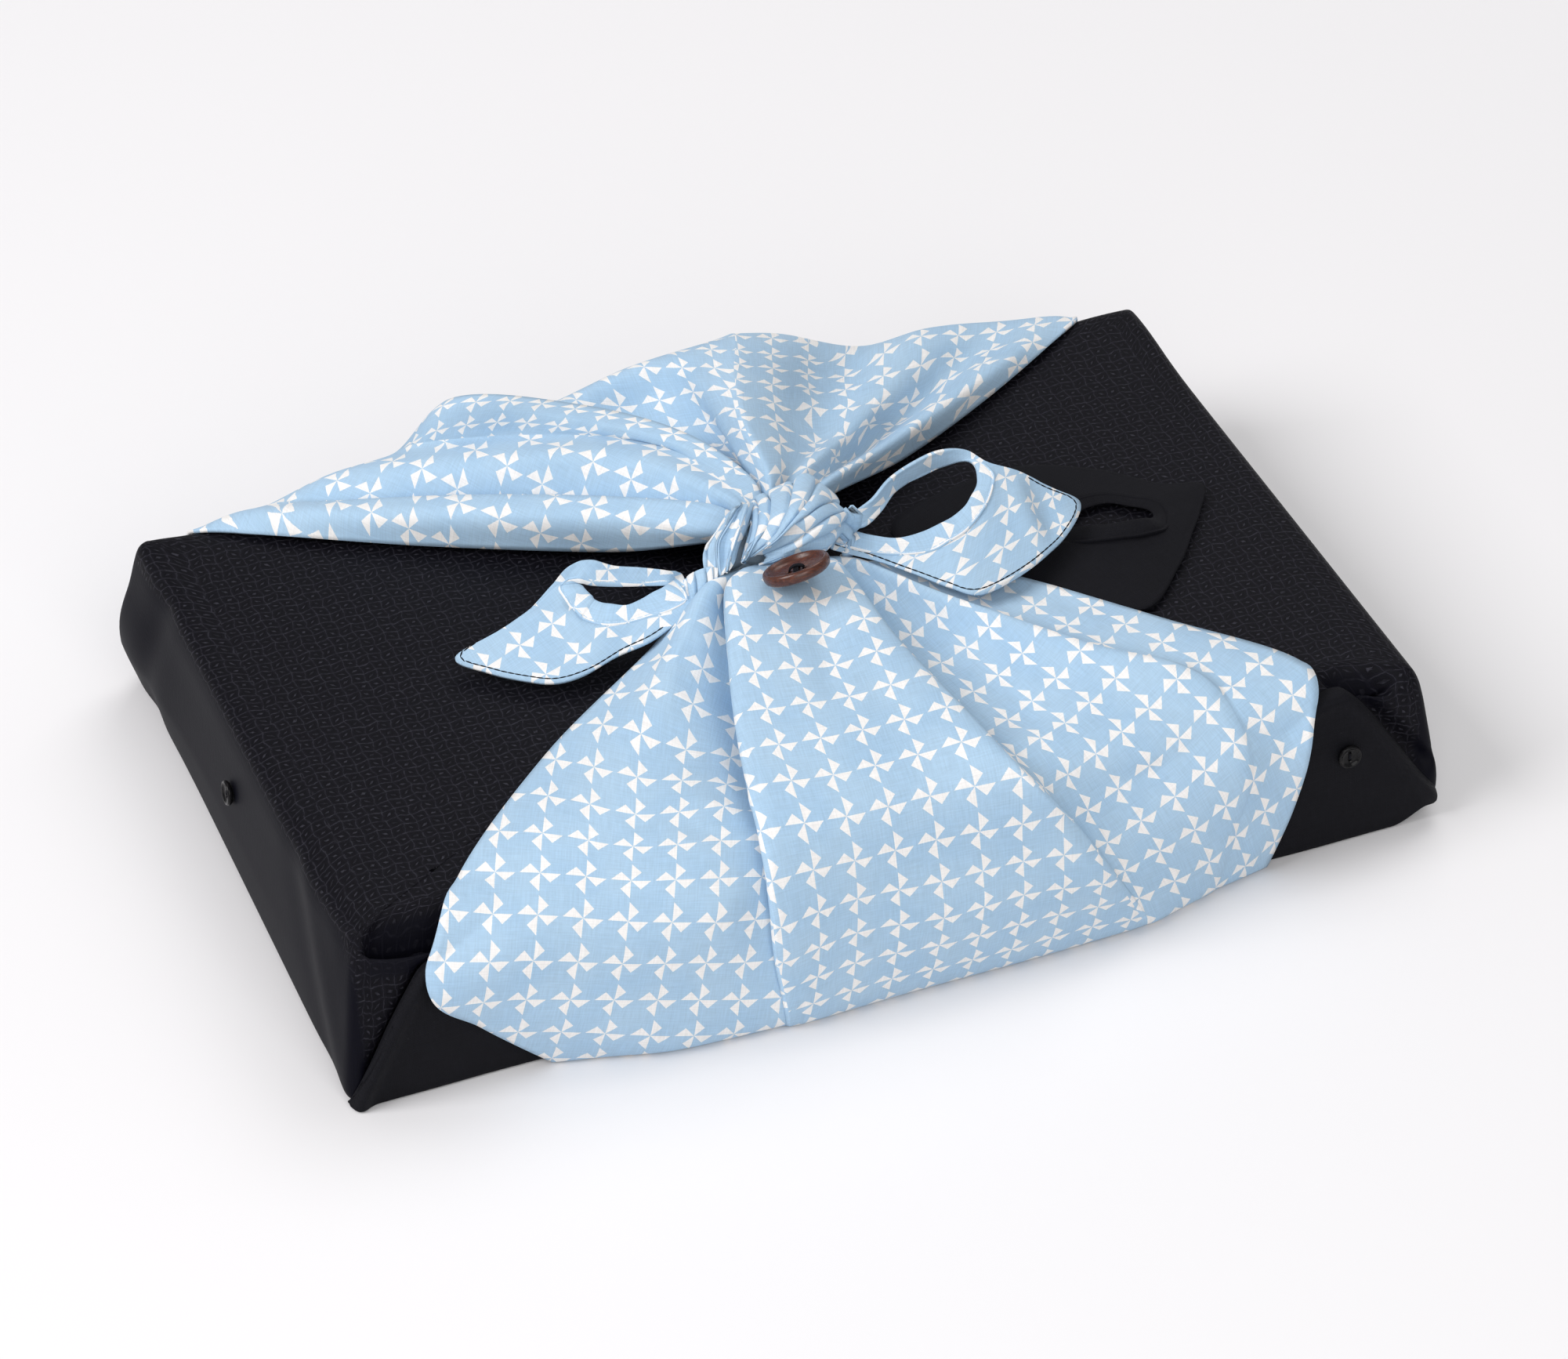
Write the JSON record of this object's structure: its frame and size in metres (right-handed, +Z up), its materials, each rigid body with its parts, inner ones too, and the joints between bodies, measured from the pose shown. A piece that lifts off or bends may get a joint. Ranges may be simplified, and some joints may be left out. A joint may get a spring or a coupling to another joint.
{
  "type": "furoshiki wrap tied round a flat box bundle",
  "caption": "Reversible cloth wrap tied round a flat box-shaped bundle: black body cloth, printed front and back panels knotted on top, hand-hole tabs and buttons.",
  "frame": {"origin": "the middle of the bundle's base, on the surface that it rests on", "axes": "+X along the bundle's length, towards the end with the body cloth's own tab; -Y to the front, where the coat button is; +Z up"},
  "size_m": [0.4562, 0.3345, 0.1212],
  "materials": {
    "dobby_cloth": "matte black cotton with a small woven figure",
    "plain_black_cloth": "matte plain black cotton",
    "printed_cloth": "light blue cotton printed with white pinwheels",
    "button_wood": "stained reddish brown, satin",
    "black_button": "polished black"
  },
  "bodies": {
    "root": {"body_cloth": "dobby_cloth", "front_flap": "plain_black_cloth", "back_flap": "plain_black_cloth", "front_panel": "printed_cloth", "back_panel": "printed_cloth", "knot": "printed_cloth", "right_tab": "printed_cloth", "right_tab_binding": "printed_cloth", "left_tab": "printed_cloth", "left_tab_binding": "printed_cloth", "body_tab": "plain_black_cloth", "body_tab_binding": "plain_black_cloth", "coat_button": "button_wood", "end_button": "black_button", "flap_button": "black_button"}
  },
  "joints": []
}
